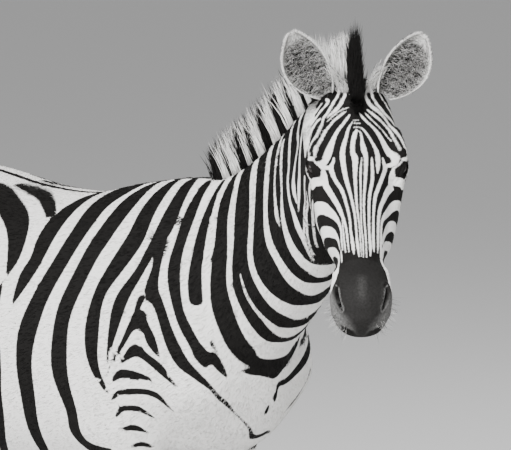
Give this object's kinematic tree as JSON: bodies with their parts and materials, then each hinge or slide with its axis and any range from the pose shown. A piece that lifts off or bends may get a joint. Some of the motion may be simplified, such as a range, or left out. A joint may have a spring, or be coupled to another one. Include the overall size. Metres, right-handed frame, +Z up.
{
  "type": "plains zebra",
  "caption": "Life-size standing zebra, head turned to its right, as a still display model that rests on its hooves.",
  "frame": {"origin": "on the floor, under the middle of the bounding box", "axes": "+X the way the trunk faces, +Y the animal's left, +Z up"},
  "size_m": [1.9186, 0.6552, 1.6694],
  "materials": {
    "coat": "short, close coat of pale and near-black stripes",
    "mane": "stiff upright hair, striped, with dark tips",
    "hoof": "worn dark horn",
    "eye": "wet dark brown"
  },
  "bodies": {
    "root": {"trunk": "coat", "neck": "coat", "head": "coat", "mane": "mane", "tail": "coat", "tail_tuft": "mane", "ear_right": "coat", "eye_right": "eye", "ear_left": "coat", "eye_left": "eye", "leg_fore_right": "coat", "hoof_fore_right": "hoof", "leg_hind_right": "coat", "hoof_hind_right": "hoof", "leg_fore_left": "coat", "hoof_fore_left": "hoof", "leg_hind_left": "coat", "hoof_hind_left": "hoof"}
  },
  "joints": []
}
